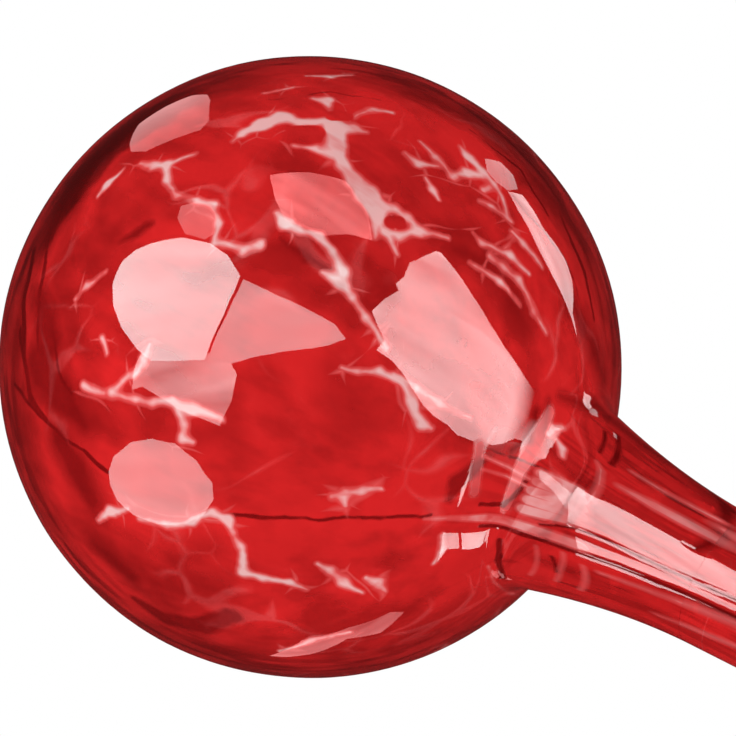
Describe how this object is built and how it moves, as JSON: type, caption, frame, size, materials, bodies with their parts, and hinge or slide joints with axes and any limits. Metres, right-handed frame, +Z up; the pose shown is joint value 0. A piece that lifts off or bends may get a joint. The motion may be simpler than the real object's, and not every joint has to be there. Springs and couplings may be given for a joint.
{
  "type": "watering globe",
  "caption": "Hand-blown glass watering globe: a round mottled red bulb on a long hollow tapering stem with an open mouth, pushed upside down into a plant pot.",
  "frame": {"origin": "centre of the stem's open mouth, which is the lowest point of the globe in use", "axes": "+Z up along the stem towards the top of the bulb, +X and +Y across it"},
  "size_m": [0.076, 0.076, 0.305],
  "materials": {
    "mottled_red_glass": "gloss",
    "red_glass": "gloss",
    "dark_red_glass": "gloss"
  },
  "bodies": {
    "root": {"bulb": "mottled_red_glass", "stem_sleeve": "red_glass", "colour_streaks": "dark_red_glass", "mouth_lip": "red_glass"}
  },
  "joints": []
}
